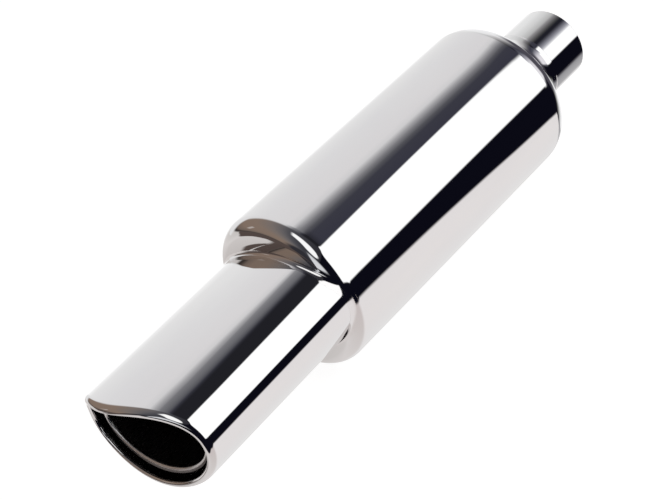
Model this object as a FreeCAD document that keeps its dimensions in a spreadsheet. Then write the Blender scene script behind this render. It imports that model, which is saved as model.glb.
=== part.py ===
import FreeCAD, Part
import math
import os

import Sketcher

# Straight-through muffler: a round polished canister with a perforated core,
# a slip-on inlet and an oval double-walled tail tip.
# X runs along the gas path, from the free end of the inlet (X = 0) to the mouth.
# Y is the wide way of the oval tip and Z is up. Lengths in millimetres, angles in degrees.

SIZES = {
    # Inlet pipe, which slips over a 57 mm exhaust pipe
    "inlet_bore": 58.0,
    "pipe_wall": 1.7,
    "inlet_reach": 42.0,
    "pipe_entry": 4.0,
    # Canister
    "body_diameter": 127.0,
    "shell_wall": 1.2,
    "body_length": 248.5,
    "seam_width": 3.0,
    "girth_weld_width": 2.4,
    "girth_weld_root": 0.3,
    # End caps, spun from one sheet each
    "cap_wall": 1.5,
    "cap_skirt": 10.0,
    "rear_knuckle": 18.0,
    "rear_throat": 30.0,
    "rear_slope_angle": 64.0,
    "rear_collar": 4.0,
    "front_knuckle": 12.0,
    "front_throat": 6.0,
    "front_slope_angle": 79.0,
    "front_collar": 8.0,
    # Perforated core with its wrap and packing
    "core_wall": 1.2,
    "core_overlap": 12.0,
    "hole_diameter": 8.0,
    "hole_pitch": 22.0,
    "holes_around": 8,
    "hole_rows": 10,
    "wool_thickness": 5.0,
    "packing_clearance": 0.5,
    "packing_setback": 3.0,
    # Outlet sleeve, which carries the inner tube of the tip
    "sleeve_inset": 8.0,
    "sleeve_reach": 22.0,
    # Fits and weld beads
    "slip_clearance": 0.15,
    "bead_leg": 1.8,
    # Oval tip, outer skin; its wide sides stay a little inside the canister's diameter
    "tip_side_margin": 1.5,
    "tip_half_height": 40.0,
    "tip_wall": 1.5,
    "tip_root": 2.0,
    "tip_reach": 157.0,
    "tip_drop": 2.8,
    "lip_radius": 5.5,
    "deepest_height": 3.9,
    "upper_lip_rise": 19.4,
    "lower_lip_rise": 6.4,
    "weld_gap": 0.1,
    "base_bead": 2.6,
    # Inner tube of the tip
    "liner_gap": 9.0,
    "liner_wall": 1.5,
    "liner_setback": 5.5,
    "liner_clearance": 8.0,
    "socket_length": 14.0,
    "oval_length": 46.0,
    # Ring that holds the inner tube in the skin
    "ring_setback": 38.0,
    "ring_wall": 1.5,
    "ring_flange": 8.0,
}

doc = FreeCAD.newDocument("Muffler")
sheet = doc.addObject("Spreadsheet::Sheet", "Sizes")
for row, (alias, number) in enumerate(SIZES.items(), start=1):
    sheet.set(f"A{row}", alias)
    sheet.set(f"B{row}", str(number))
    sheet.setAlias(f"B{row}", alias)
doc.recompute()


class Size:
    """A length or an angle: its number, and the expression that gives it in the document."""

    def __init__(self, value, text):
        self.value = value
        self.text = text

    def __add__(self, other):
        other = as_size(other)
        return Size(self.value + other.value, f"({self.text} + {other.text})")

    def __sub__(self, other):
        other = as_size(other)
        return Size(self.value - other.value, f"({self.text} - {other.text})")

    def __mul__(self, other):
        other = as_size(other)
        return Size(self.value * other.value, f"({self.text} * {other.text})")

    def __truediv__(self, other):
        other = as_size(other)
        return Size(self.value / other.value, f"({self.text} / {other.text})")

    def __neg__(self):
        return Size(-self.value, f"(0 - {self.text})")


def as_size(number):
    """A plain number as a size that no cell drives."""
    return number if isinstance(number, Size) else Size(float(number), repr(float(number)))


def cell(alias):
    """The size that the spreadsheet keeps under a name."""
    return Size(float(sheet.get(alias)), f"Sizes.{alias}")


def sine(angle):
    return Size(math.sin(math.radians(angle.value)), f"sin({angle.text})")


def cosine(angle):
    return Size(math.cos(math.radians(angle.value)), f"cos({angle.text})")


def arcsine(ratio):
    """The angle in degrees whose sine is the given ratio."""
    return Size(math.degrees(math.asin(ratio.value)), f"(asin({ratio.text}) / 1deg)")


ZERO = as_size(0)
FULL_TURN = 360.0
# Sections round the oval that shape the rolled lip
LIP_SECTIONS = 32
pieces = []


# Radii that several pieces share
bore_radius = cell("inlet_bore") / 2
pipe_radius = bore_radius + cell("pipe_wall")
collar_bore = pipe_radius + cell("slip_clearance")
collar_radius = collar_bore + cell("cap_wall")
body_radius = cell("body_diameter") / 2
shell_bore = body_radius - cell("shell_wall")
core_bore = pipe_radius + cell("slip_clearance")
core_radius = core_bore + cell("core_wall")
tip_half_width = body_radius - cell("tip_side_margin")
bead = cell("bead_leg")


class Cap:
    """The section of a spun end cap, measured outward from where its skirt ends."""

    def __init__(self, end):
        self.knuckle = cell(f"{end}_knuckle")
        self.throat = cell(f"{end}_throat")
        self.collar = cell(f"{end}_collar")
        self.sin = sine(cell(f"{end}_slope_angle"))
        self.cos = cosine(cell(f"{end}_slope_angle"))
        arcs = self.knuckle + self.throat
        fall = body_radius - collar_radius - arcs * (as_size(1) - self.cos)
        self.cone = fall / self.sin
        self.depth = arcs * self.sin + self.cone * self.cos
        self.length = self.depth + self.collar

    def outer(self):
        """The outer outline, from the skirt's end to the collar's end, with its arcs."""
        knuckle_end = (self.knuckle * self.sin, body_radius - self.knuckle * (as_size(1) - self.cos))
        throat_start = (knuckle_end[0] + self.cone * self.cos, knuckle_end[1] - self.cone * self.sin)
        points = [(ZERO, body_radius), knuckle_end, throat_start]
        points += [(self.depth, collar_radius), (self.length, collar_radius)]
        return points, {0: -self.knuckle, 2: self.throat}

    def inner(self):
        """The inner outline, one wall inside the outer one, from the collar back to the skirt."""
        wall = cell("cap_wall")
        points, _ = self.outer()
        shift = (wall * self.sin, wall * self.cos)
        ends = [(self.length, collar_bore), (self.depth, collar_bore)]
        ends += [(x - shift[0], y - shift[1]) for x, y in (points[2], points[1])]
        ends.append((ZERO, body_radius - wall))
        return ends, {1: -(self.throat + wall), 3: self.knuckle - wall}


rear = Cap("rear")
front = Cap("front")

# Stations along the axis, from the inlet to the mouth
rear_tangent = cell("inlet_reach") + rear.length
front_tangent = rear_tangent + cell("body_length")
shell_start = rear_tangent + cell("cap_skirt") + cell("girth_weld_width")
shell_end = front_tangent - cell("cap_skirt") - cell("girth_weld_width")
pipe_end = rear_tangent + cell("pipe_entry")
sleeve_start = front_tangent - cell("sleeve_inset")
collar_end = front_tangent + front.length
sleeve_end = collar_end + cell("sleeve_reach")
core_start = pipe_end - cell("core_overlap")
core_end = sleeve_start + cell("core_overlap")
tip_start = front_tangent - cell("tip_root")
mouth_side = front_tangent + cell("tip_reach")
mouth_far = mouth_side + cell("tip_half_height")
liner_start = collar_end + cell("liner_clearance")
oval_start = mouth_side - cell("oval_length")
ring_start = mouth_side - cell("ring_setback")


def plane_of(body, role):
    """One of the origin planes of a body."""
    return next(item for item in body.Origin.OriginFeatures if item.Role == role)


def axis_of(body):
    """The X axis of a body's origin."""
    return next(item for item in body.Origin.OriginFeatures if item.Role == "X_Axis")


def new_body(label):
    """An empty body, placed in the muffler's own frame."""
    body = doc.addObject("PartDesign::Body", label)
    body.Label = label
    body.Placement = FreeCAD.Placement()
    return body


def new_sketch(body, name, role, offset=None):
    """A sketch on an origin plane of its body, moved along that plane's normal if asked."""
    sketch = body.newObject("Sketcher::SketchObject", name)
    sketch.AttachmentSupport = [(plane_of(body, role), "")]
    sketch.MapMode = "FlatFace"
    if offset is not None:
        sketch.setExpression("AttachmentOffset.Base.z", offset.text)
    return sketch


def add_driven(sketch, kind, *spots, size):
    """A dimension of a sketch, driven by the spreadsheet."""
    index = sketch.addConstraint(Sketcher.Constraint(kind, *spots, size.value))
    sketch.setExpression(f"Constraints[{index}]", size.text)


def pin_point(sketch, spot, x, y):
    """Hold a point of a sketch at its two coordinates."""
    for kind, size, axis in (("DistanceX", x, -2), ("DistanceY", y, -1)):
        if size is ZERO:
            sketch.addConstraint(Sketcher.Constraint("PointOnObject", *spot, axis))
        else:
            add_driven(sketch, kind, -1, 1, *spot, size=size)


def arc_edge(start, end, radius):
    """An arc between two points, and which of its ends is the first; negative turns clockwise."""
    middle = (start + end) * 0.5
    chord = end - start
    left = FreeCAD.Vector(-chord.y, chord.x, 0).normalize()
    rise = math.sqrt(radius * radius - chord.Length ** 2 / 4)
    centre = middle + left * math.copysign(rise, radius)
    first, last = (start, end) if radius > 0 else (end, start)
    angles = [math.atan2(point.y - centre.y, point.x - centre.x) for point in (first, last)]
    if angles[1] < angles[0]:
        angles[1] += 2 * math.pi
    circle = Part.Circle(centre, FreeCAD.Vector(0, 0, 1), abs(radius))
    return Part.ArcOfCircle(circle, *angles), (1, 2) if radius > 0 else (2, 1)


def draw_outline(sketch, points, arcs=None):
    """A closed outline through the points; arcs gives the radius of each edge that isn't straight."""
    arcs = arcs or {}
    places = [FreeCAD.Vector(x.value, y.value, 0) for x, y in points]
    ends = []
    first = sketch.GeometryCount
    for index, start in enumerate(places):
        end = places[(index + 1) % len(places)]
        if index in arcs:
            edge, order = arc_edge(start, end, arcs[index].value)
        else:
            edge, order = Part.LineSegment(start, end), (1, 2)
        sketch.addGeometry(edge, False)
        ends.append(order)
    for index in range(len(points)):
        before = (index - 1) % len(points)
        joint = (first + before, ends[before][1], first + index, ends[index][0])
        sketch.addConstraint(Sketcher.Constraint("Coincident", *joint))
    for index, (x, y) in enumerate(points):
        pin_point(sketch, (first + index, ends[index][0]), x, y)
    for index, radius in arcs.items():
        size = radius if radius.value > 0 else -radius
        add_driven(sketch, "Radius", first + index, size=size)


def draw_circle(sketch, radius):
    """A circle round the axis."""
    circle = Part.Circle(FreeCAD.Vector(0, 0, 0), FreeCAD.Vector(0, 0, 1), radius.value)
    index = sketch.addGeometry(circle, False)
    sketch.addConstraint(Sketcher.Constraint("Coincident", index, 3, -1, 1))
    add_driven(sketch, "Radius", index, size=radius)


def draw_oval(sketch, half_width, half_height, drop):
    """An ellipse, wide along Y, whose centre lies the given drop below the axis."""
    centre = FreeCAD.Vector(0, -drop.value, 0)
    index = sketch.addGeometry(Part.Ellipse(centre, half_width.value, half_height.value), False)
    sketch.exposeInternalGeometry(index)
    sketch.addConstraint(Sketcher.Constraint("Horizontal", index + 1))
    sketch.addConstraint(Sketcher.Constraint("PointOnObject", index, 3, -2))
    add_driven(sketch, "DistanceY", -1, 1, index, 3, size=-drop)
    add_driven(sketch, "Distance", index + 1, size=half_width * 2)
    add_driven(sketch, "Distance", index + 2, size=half_height * 2)


def drop_at(station):
    """How far the tip's axis lies below the canister's axis at a station along X."""
    return cell("tip_drop") * (station - front_tangent) / cell("tip_reach")


def add_revolved(body, name, sketch, angle=None, cutting=False):
    """Turn a sketch about the X axis, right round or over an angle centred on the sketch."""
    feature = body.newObject("PartDesign::Groove" if cutting else "PartDesign::Revolution", name)
    feature.Profile = (sketch, [""])
    feature.ReferenceAxis = (sketch, ["H_Axis"])
    if angle is None:
        feature.Angle = FULL_TURN
    else:
        feature.Midplane = True
        feature.setExpression("Angle", angle.text)
    return feature


def turned_body(label, points, arcs=None, angle=None):
    """A piece turned about the axis from one outline in the XZ plane."""
    body = new_body(label)
    sketch = new_sketch(body, f"{label}_outline", "XZ_Plane")
    draw_outline(sketch, points, arcs)
    add_revolved(body, f"{label}_turned", sketch, angle)
    pieces.append(body)
    return body


def tube_outline(start, end, inner, outer):
    """The outline of a plain tube or ring."""
    return [(start, inner), (end, inner), (end, outer), (start, outer)]


def bead_outline(corner_x, corner_radius, axial, radial):
    """A fillet weld: its corner, then its leg along the axis and its leg outward."""
    return [(corner_x, corner_radius), (corner_x + axial, corner_radius), (corner_x, corner_radius + radial)]


def make_cap(label, cap, tangent, sign):
    """A spun end cap: skirt, knuckle, sloping face, throat and collar, from one sheet."""
    outer, outer_arcs = cap.outer()
    inner, inner_arcs = cap.inner()
    skirt = -cell("cap_skirt")
    points = [(skirt, body_radius)] + outer + inner + [(skirt, body_radius - cell("cap_wall"))]
    arcs = {index + 1: radius for index, radius in outer_arcs.items()}
    arcs.update({index + 1 + len(outer): radius for index, radius in inner_arcs.items()})
    if sign < 0:
        arcs = {index: -radius for index, radius in arcs.items()}
    placed = [(tangent + x if sign > 0 else tangent - x, y) for x, y in points]
    return turned_body(label, placed, arcs)


def make_canister():
    """The rolled shell, its seam along the bottom and the two girth welds."""
    split = arcsine(cell("seam_width") / cell("body_diameter")) * 2
    shell = tube_outline(shell_start, shell_end, shell_bore, body_radius)
    turned_body("body_shell", shell, angle=as_size(FULL_TURN) - split)
    seam = [(x, -y) for x, y in shell]
    turned_body("shell_seam_weld", seam, angle=split)
    weld_root = body_radius - cell("cap_wall") - cell("girth_weld_root")
    weld = cell("girth_weld_width")
    turned_body("rear_girth_weld", tube_outline(shell_start - weld, shell_start, weld_root, body_radius))
    turned_body("front_girth_weld", tube_outline(shell_end, shell_end + weld, weld_root, body_radius))
    make_cap("rear_end_cap", rear, rear_tangent, -1)
    make_cap("front_end_cap", front, front_tangent, 1)


def make_pipes():
    """The inlet pipe and the outlet sleeve, with the welds that hold them and the core."""
    turned_body("inlet_pipe", tube_outline(ZERO, pipe_end, bore_radius, pipe_radius))
    turned_body("outlet_sleeve", tube_outline(sleeve_start, sleeve_end, bore_radius, pipe_radius))
    collar_rim = collar_radius - pipe_radius
    core_rim = core_radius - pipe_radius
    turned_body("inlet_weld", bead_outline(cell("inlet_reach"), pipe_radius, -bead, collar_rim))
    turned_body("outlet_weld", bead_outline(collar_end, pipe_radius, bead, collar_rim))
    turned_body("core_inlet_weld", bead_outline(core_start, pipe_radius, -bead, core_rim))
    turned_body("core_outlet_weld", bead_outline(core_end, pipe_radius, bead, core_rim))


def pocket(body, name, sketch, both_ways=True):
    """Cut a sketch right through its body, both ways or along the sketch's normal only."""
    feature = body.newObject("PartDesign::Pocket", name)
    feature.Profile = (sketch, [""])
    feature.Type = "ThroughAll"
    feature.Midplane = both_ways
    return feature


def make_core():
    """The perforated tube, slipped over the pipes' inner ends, with staggered rings of holes."""
    body = turned_body("perforated_core", tube_outline(core_start, core_end, core_bore, core_radius))
    pitch = cell("hole_pitch")
    hole_radius = cell("hole_diameter") / 2
    rows = int(cell("hole_rows").value)
    around = int(cell("holes_around").value)
    first = (core_start + core_end - pitch * (rows - 1)) / 2
    half_step = FULL_TURN / around / 2
    for parity, turn in ((0, 0.0), (1, half_step)):
        sketch = body.newObject("Sketcher::SketchObject", f"hole_row_{parity}")
        sketch.AttachmentSupport = [(plane_of(body, "XY_Plane"), "")]
        sketch.MapMode = "FlatFace"
        sketch.AttachmentOffset = FreeCAD.Placement(
            FreeCAD.Vector(0, 0, 0), FreeCAD.Rotation(FreeCAD.Vector(1, 0, 0), turn))
        for ring in range(parity, rows, 2):
            place = first + pitch * ring
            centre = FreeCAD.Vector(place.value, 0, 0)
            circle = Part.Circle(centre, FreeCAD.Vector(0, 0, 1), hole_radius.value)
            index = sketch.addGeometry(circle, False)
            sketch.addConstraint(Sketcher.Constraint("PointOnObject", index, 3, -1))
            add_driven(sketch, "DistanceX", -1, 1, index, 3, size=place)
            add_driven(sketch, "Radius", index, size=hole_radius)
        holes = pocket(body, f"holes_{parity}", sketch, both_ways=False)
        holes.Reversed = True
        doc.recompute()
        pattern = body.newObject("PartDesign::PolarPattern", f"holes_round_{parity}")
        pattern.Originals = [holes]
        pattern.Axis = (axis_of(body), [""])
        pattern.Angle = FULL_TURN
        pattern.setExpression("Occurrences", cell("holes_around").text)
        body.Tip = pattern
        doc.recompute()


def make_packing():
    """Stainless wool round the core, and glass fibre out to the shell."""
    wool_bore = core_radius + cell("slip_clearance")
    wool_radius = wool_bore + cell("wool_thickness")
    wool_start = pipe_end + cell("packing_clearance")
    wool_end = sleeve_start - cell("packing_clearance")
    turned_body("steel_wool_wrap", tube_outline(wool_start, wool_end, wool_bore, wool_radius))
    fibre_bore = wool_radius + cell("slip_clearance")
    fibre_radius = body_radius - cell("cap_wall") - cell("girth_weld_root") - cell("packing_clearance")
    fibre_start = rear_tangent + cell("packing_setback")
    fibre_end = front_tangent - cell("packing_setback")
    turned_body("glass_fibre_packing", tube_outline(fibre_start, fibre_end, fibre_bore, fibre_radius))


def loft(body, name, sketches, ruled, cutting=False):
    """Join sections into a solid, or cut with the solid that they make."""
    kind = "PartDesign::SubtractiveLoft" if cutting else "PartDesign::AdditiveLoft"
    feature = body.newObject(kind, name)
    feature.Profile = (sketches[0], [""])
    feature.Sections = [(sketch, [""]) for sketch in sketches[1:]]
    feature.Ruled = ruled
    return feature


def oval_section(body, name, station, inset):
    """The tip's oval at a station, made smaller all round by an inset."""
    sketch = new_sketch(body, name, "YZ_Plane", station)
    size = (tip_half_width - inset, cell("tip_half_height") - inset)
    draw_oval(sketch, *size, drop_at(station))
    return sketch


def round_section(body, name, station, radius):
    """A round section of the inner tube at a station."""
    sketch = new_sketch(body, name, "YZ_Plane", station)
    draw_circle(sketch, radius)
    return sketch


def oval_prism(body, name, start, end, inset, cutting=False):
    """A length of the tip's oval, whose axis falls towards the mouth."""
    sketches = [oval_section(body, f"{name}_{side}", station, inset)
                for side, station in (("start", start), ("end", end))]
    return loft(body, name, sketches, True, cutting)


def mouth_arcs():
    """The mouth's outline from the side: for each lip its height over the deepest line, and its arc."""
    edge = cell("tip_half_height") - cell("lip_radius")
    arcs = []
    for height, rise in ((edge - cell("deepest_height"), cell("upper_lip_rise")),
                         (edge + cell("deepest_height"), cell("lower_lip_rise"))):
        arcs.append((height, rise, (height * height + rise * rise) / (rise * 2)))
    return arcs


def cut_mouth(body, name, setback):
    """Cut the hollowed mouth, a given setback behind the lip: a tight arc above, a wide one below."""
    sketch = new_sketch(body, f"{name}_outline", "XZ_Plane")
    (above, upper_rise, upper_radius), (below, lower_rise, lower_radius) = mouth_arcs()
    deepest = mouth_side - setback
    level = cell("deepest_height") - cell("tip_drop")
    beyond = cell("body_diameter")
    points = [
        (deepest, level),
        (deepest + lower_rise, level - below),
        (deepest + lower_rise, level - beyond),
        (deepest + beyond, level - beyond),
        (deepest + beyond, level + beyond),
        (deepest + upper_rise, level + beyond),
        (deepest + upper_rise, level + above),
    ]
    draw_outline(sketch, points, {0: lower_radius, 6: upper_radius})
    return pocket(body, name, sketch)


def cap_face(allowance):
    """The front cap's outer outline down to the throat, moved outward by an allowance, and its arc."""
    outer, arcs = front.outer()
    return [(front_tangent + allowance + x, y) for x, y in outer[:3]], {0: arcs[0]}


def trim_to_cap(body, name, allowance):
    """Cut away what lies inside the front cap's outer face, moved outward by an allowance."""
    sketch = new_sketch(body, f"{name}_outline", "XZ_Plane")
    face, arcs = cap_face(allowance)
    behind = [(face[-1][0], ZERO), (shell_end, ZERO), (shell_end, body_radius)]
    draw_outline(sketch, face + behind, arcs)
    return add_revolved(body, name, sketch, cutting=True)


def keep_near_cap(body, name, allowance):
    """Cut away what lies further than an allowance outside the front cap, or wider than the body."""
    sketch = new_sketch(body, f"{name}_outline", "XZ_Plane")
    face, arcs = cap_face(allowance)
    wide = body_radius + body_radius
    ahead = [(face[-1][0], ZERO), (mouth_far, ZERO), (mouth_far, wide)]
    ahead += [(shell_end, wide), (shell_end, body_radius)]
    draw_outline(sketch, face + ahead, arcs)
    return add_revolved(body, name, sketch, cutting=True)


def lip_station(height):
    """Where the lip ends along X, at a height over the tip's own axis."""
    (_, _, upper), (_, _, lower) = mouth_arcs()
    over = height - cell("deepest_height").value
    radius = upper.value if over > 0 else lower.value
    return mouth_side.value + radius - math.sqrt(radius * radius - over * over)


def wall_section(turn):
    """The skin's section at one place round the oval: a straight wall and its rolled-in lip."""
    half_width = tip_half_width.value
    half_height = cell("tip_half_height").value
    roll = cell("lip_radius").value
    wall = cell("tip_wall").value
    on_oval = FreeCAD.Vector(0, half_width * math.cos(turn), half_height * math.sin(turn))
    inward = FreeCAD.Vector(0, -math.cos(turn) / half_width, -math.sin(turn) / half_height).normalize()
    lip = lip_station((on_oval + inward * roll).z)

    def place(station, inset):
        fall = drop_at(as_size(station)).value
        return on_oval + inward * inset + FreeCAD.Vector(station, 0, -fall)

    bend = math.cos(math.pi / 4)
    centre = lip - roll
    inner_roll = roll - wall
    root = tip_start.value
    outer_foot, outer_bend, outer_tip = place(root, 0), place(centre, 0), place(lip, roll)
    inner_tip, inner_bend, inner_foot = place(lip - wall, roll), place(centre, wall), place(root, wall)
    outer_middle = place(centre + roll * bend, roll - roll * bend)
    inner_middle = place(centre + inner_roll * bend, roll - inner_roll * bend)
    edges = [
        Part.LineSegment(outer_foot, outer_bend),
        Part.Arc(outer_bend, outer_middle, outer_tip),
        Part.LineSegment(outer_tip, inner_tip),
        Part.Arc(inner_tip, inner_middle, inner_bend),
        Part.LineSegment(inner_bend, inner_foot),
        Part.LineSegment(inner_foot, outer_foot),
    ]
    return Part.Wire([edge.toShape() for edge in edges])


def make_tip_skin():
    """The outer skin of the tip: an oval tube, seated on the cap, whose curved mouth is rolled in."""
    sections = [wall_section(2 * math.pi * step / LIP_SECTIONS) for step in range(LIP_SECTIONS)]
    form = doc.addObject("Part::Feature", "skin_form")
    form.Shape = Part.makeLoft(sections, True, False, True)
    form.Placement = FreeCAD.Placement()
    body = new_body("tip_skin")
    body.BaseFeature = form
    trim_to_cap(body, "skin_seat", cell("weld_gap"))
    pieces.append(body)


def make_base_weld():
    """The weld bead round the foot of the tip, where it stands on the cap."""
    body = new_body("tip_base_weld")
    oval_prism(body, "bead_prism", tip_start, oval_start, -cell("base_bead"))
    oval_prism(body, "bead_hollow", tip_start, oval_start, -cell("weld_gap"), cutting=True)
    trim_to_cap(body, "bead_seat", cell("weld_gap"))
    keep_near_cap(body, "bead_crown", cell("base_bead"))
    pieces.append(body)


def liner_form(body, name, radius, inset, cutting=False):
    """The inner tube's outline: a round socket, a cone that turns oval, and the oval run to the mouth."""
    socket_end = liner_start + cell("socket_length")
    sketches = [round_section(body, f"{name}_round_{index}", station, radius)
                for index, station in enumerate((liner_start, socket_end))]
    sketches += [oval_section(body, f"{name}_oval_{index}", station, inset)
                 for index, station in enumerate((oval_start, mouth_far))]
    return loft(body, name, sketches, True, cutting)


def make_liner():
    """The inner tube of the tip, slipped over the outlet sleeve and cut behind the lip."""
    body = new_body("tip_liner")
    socket_bore = pipe_radius + cell("slip_clearance")
    wall = cell("liner_wall")
    liner_form(body, "liner_outside", socket_bore + wall, cell("liner_gap"))
    liner_form(body, "liner_inside", socket_bore, cell("liner_gap") + wall, cutting=True)
    cut_mouth(body, "liner_mouth", cell("liner_setback"))
    pieces.append(body)
    weld = bead_outline(liner_start, pipe_radius, -bead, wall + cell("slip_clearance"))
    turned_body("liner_weld", weld)


def make_support_ring():
    """The pressed ring that holds the inner tube in the skin, with a flange along the skin."""
    body = new_body("liner_support_ring")
    outside = cell("tip_wall") + cell("slip_clearance")
    wall = cell("ring_wall")
    ring_end = ring_start + cell("ring_flange")
    oval_prism(body, "ring_outside", ring_start, ring_end, outside)
    oval_prism(body, "ring_dish", ring_start + wall, ring_end, outside + wall, cutting=True)
    bore = cell("liner_gap") - cell("slip_clearance")
    oval_prism(body, "ring_bore", ring_start, ring_end, bore, cutting=True)
    pieces.append(body)


def check_and_write():
    """Stop on any failed object, then write each body to its own file."""
    doc.recompute()
    for item in doc.Objects:
        if "Invalid" in item.State or "Error" in item.State:
            raise RuntimeError(f"{item.Name} failed: {item.State}")
    os.makedirs("parts", exist_ok=True)
    for body in pieces:
        shape = body.Shape
        if shape.isNull() or not shape.isValid():
            raise RuntimeError(f"{body.Label} has no valid shape")
        shape.exportStep(f"parts/{body.Label}.step")
        print(body.Label, round(shape.Volume, 1), len(shape.Solids))


make_canister()
make_pipes()
make_core()
make_packing()
make_tip_skin()
make_base_weld()
make_liner()
make_support_ring()
check_and_write()
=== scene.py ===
import math

import bpy
from mathutils import Matrix, Vector


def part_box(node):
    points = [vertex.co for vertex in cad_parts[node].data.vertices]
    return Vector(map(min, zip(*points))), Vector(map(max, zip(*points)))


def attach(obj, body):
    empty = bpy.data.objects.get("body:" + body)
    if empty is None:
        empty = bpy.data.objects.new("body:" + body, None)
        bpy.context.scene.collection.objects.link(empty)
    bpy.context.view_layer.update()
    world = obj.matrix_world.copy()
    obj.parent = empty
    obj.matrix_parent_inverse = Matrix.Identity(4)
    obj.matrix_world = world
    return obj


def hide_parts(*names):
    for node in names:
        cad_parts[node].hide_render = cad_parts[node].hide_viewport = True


# Straight-through muffler, mirror polished, in a plain studio.
# Metres, in the frame of the CAD model: X along the gas path from the inlet's free end,
# Y along the wide way of the oval tip, Z up. The points of a section are (x, distance from the axis),
# or on the tip (x, inset from its skin).

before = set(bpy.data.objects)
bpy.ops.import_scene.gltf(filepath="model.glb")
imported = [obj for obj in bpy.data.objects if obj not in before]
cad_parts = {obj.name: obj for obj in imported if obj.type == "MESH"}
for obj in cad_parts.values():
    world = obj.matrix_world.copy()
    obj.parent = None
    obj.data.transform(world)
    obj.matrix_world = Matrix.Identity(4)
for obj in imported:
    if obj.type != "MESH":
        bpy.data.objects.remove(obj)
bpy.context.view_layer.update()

MM = 0.001
FULL = 2 * math.pi

# Places read from the frame
shell_low, shell_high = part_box("body_shell")
pipe_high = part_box("inlet_pipe")[1]
rear_low, rear_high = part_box("rear_end_cap")
front_low, front_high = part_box("front_end_cap")
rear_weld_low, rear_weld_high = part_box("rear_girth_weld")
front_weld_low, front_weld_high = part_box("front_girth_weld")
liner_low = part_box("tip_liner")[0]
body_radius = shell_high.z
pipe_radius = pipe_high.z

# Sheet sizes, as in the CAD model
PIPE_WALL = 1.7 * MM
SHELL_WALL = 1.2 * MM
CAP_WALL = 1.5 * MM
CAP_SKIRT = 10 * MM
COLLAR_CLEARANCE = 0.15 * MM
SEAM_WIDTH = 3 * MM
REAR_KNUCKLE = 18 * MM
REAR_THROAT = 30 * MM
REAR_SLOPE = math.radians(64)
FRONT_KNUCKLE = 12 * MM
FRONT_THROAT = 6 * MM
FRONT_SLOPE = math.radians(79)

# Finer than in the CAD model: the face of each cap grows steeper towards its foot, and edges are rounded
REAR_FOOT_SLOPE = math.radians(66)
FRONT_FOOT_SLOPE = math.radians(86.5)
EDGE_ROUND = 0.35 * MM

# Tip sizes, as in the CAD model
TIP_SIDE_MARGIN = 1.5 * MM
TIP_HALF_HEIGHT = 40 * MM
TIP_WALL = 1.5 * MM
TIP_REACH = 157 * MM
TIP_DROP = 2.8 * MM
LIP_RADIUS = 5.5 * MM
DEEPEST_HEIGHT = 3.9 * MM
UPPER_LIP_RISE = 19.4 * MM
LOWER_LIP_RISE = 6.4 * MM
WELD_GAP = 0.1 * MM
LINER_GAP = 9 * MM
LINER_WALL = 1.5 * MM
LINER_SETBACK = 5.5 * MM
LINER_SOCKET = 14 * MM
LINER_OVAL = 46 * MM

# Finer than in the CAD model: the hems of the tip's lip and of the inner tube, and the bead at the foot
HEM_DEPTH = 3.4 * MM
HEM_ROUND = 1.6 * MM
LINER_HEM = 1.6 * MM
BEAD_UP = 4.6 * MM
BEAD_OUT = 3 * MM
BEAD_LEAST_OUT = 0.4 * MM
BEAD_EDGE_MARGIN = 0.1 * MM
BEAD_LIFT = 0.02 * MM

# How far the smooth normals lean: along the tip at its foot and its mouth, over its top, and round its lip
FOOT_LEAN = math.radians(6.5)
MOUTH_LEAN = math.radians(2.5)
TOP_LEAN = math.radians(-9)
LIP_LEAN = math.radians(-6)
LIP_END_LEAN = math.radians(20)
# Between which angles a lean sets in or dies out, in degrees from +Y over the top
TOP_LEAN_STARTS = (66, 86)
WALL_LEAN_ENDS = (94, 110)
LIP_LEAN_STARTS = (35, 55)
LIP_END_STARTS = (85, 110)
LIP_LEAN_ENDS = (125, 160)
# The same from +Y under the bottom
LOW_LEAN_ENDS = (90, 150)
# Over how many points of the roll the wall's lean turns into the lip's
LEAN_BLEND_ROWS = 3
# How much the smooth normals of the inlet pipe turn towards its mouth, as a slope
PIPE_FLARE = 0.015

# How finely the round forms are divided, in how many passes the tip's foot is placed on the front cap,
# and which corners stay sharp
TURNS = 240
ARC_STEP = math.radians(3)
WALL_ROWS = 10
ROLL_ROWS = 14
BEAD_STROKES = 8
CONE_STEPS = 12
OVAL_STEPS = 6
HEM_COLUMNS = 20
FOOT_PASSES = 3
SHARP_CORNER = math.radians(30)

rear_tangent = rear_high.x - CAP_SKIRT
front_tangent = front_low.x + CAP_SKIRT
mouth_side = front_tangent + TIP_REACH
tip_half_width = body_radius - TIP_SIDE_MARGIN
collar_bore = pipe_radius + COLLAR_CLEARANCE
collar_radius = collar_bore + CAP_WALL


# Mesh helpers

def add_piece(name, points, faces, material, node):
    """A mesh piece of the muffler that stands for a CAD node, with smooth faces and sharp corners."""
    mesh = bpy.data.meshes.new(name)
    mesh.from_pydata(points, [], faces)
    mesh.validate()
    mesh.shade_smooth()
    mesh.set_sharp_from_angle(angle=SHARP_CORNER)
    mesh.materials.append(material)
    piece = bpy.data.objects.new(name, mesh)
    bpy.context.scene.collection.objects.link(piece)
    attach(piece, "root")
    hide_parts(node)
    return piece


def grid_faces(rows, columns, wrap_rows=True):
    """Quads over a grid of points stored row by row, each row a closed loop."""
    faces = []
    for i in range(rows if wrap_rows else rows - 1):
        for j in range(columns):
            a, b = i * columns, ((i + 1) % rows) * columns
            k = (j + 1) % columns
            faces.append((a + j, a + k, b + k, b + j))
    return faces


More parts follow.
